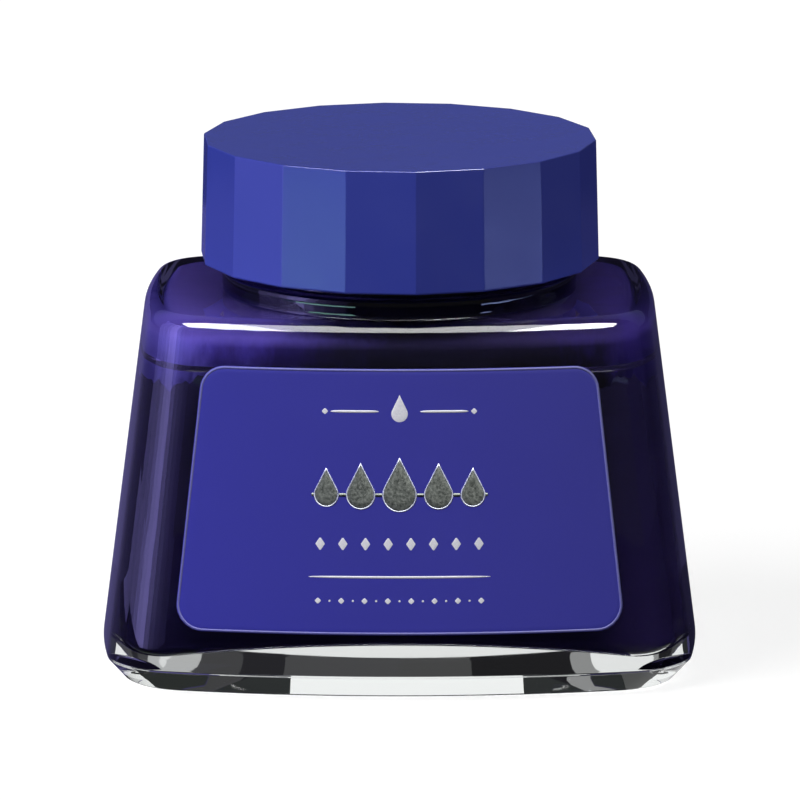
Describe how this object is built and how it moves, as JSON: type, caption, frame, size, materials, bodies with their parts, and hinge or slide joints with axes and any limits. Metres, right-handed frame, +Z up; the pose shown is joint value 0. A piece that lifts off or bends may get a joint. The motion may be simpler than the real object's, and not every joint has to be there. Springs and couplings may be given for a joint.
{
  "type": "ink bottle",
  "caption": "Small tapered glass ink bottle with a thick clear base, a front label and a lined faceted screw cap that unscrews.",
  "frame": {"origin": "middle of the foot, on the surface that the bottle stands on", "axes": "+Z up along the neck axis, the label faces -Y, +X along the width"},
  "size_m": [0.0532, 0.0394, 0.0466],
  "materials": {
    "clear_glass": "fire-polished, clear",
    "ink": "dark blue-violet liquid",
    "label_paper": "satin, dark blue",
    "silver_foil": "hot-stamped, bright",
    "cap_plastic": "satin gloss, dark blue",
    "liner_foam": "closed-cell foam, off-white",
    "liner_film": "smooth film, white"
  },
  "bodies": {
    "bottle": {"glass_bottle": "clear_glass", "ink_fill": "ink", "front_label": "label_paper", "label_foil": "silver_foil"},
    "liner": {"cap_liner": "liner_foam", "liner_facing": "liner_film"},
    "cap": {"cap_shell": "cap_plastic"}
  },
  "joints": [
    {"name": "cap_lift", "type": "slide", "parent": "bottle", "child": "liner", "axis": [0, 0, 1], "range_m": [0, 0.00952]},
    {"name": "cap_turn", "type": "hinge", "parent": "liner", "child": "cap", "pos_m": [0, 0, 0.03575], "axis": [0, 0, 1], "range_deg": [0, 810]}
  ],
  "couplings": [
    {"joint": "cap_lift", "follows": "cap_turn", "m_per_rad": 0.00067322}
  ]
}
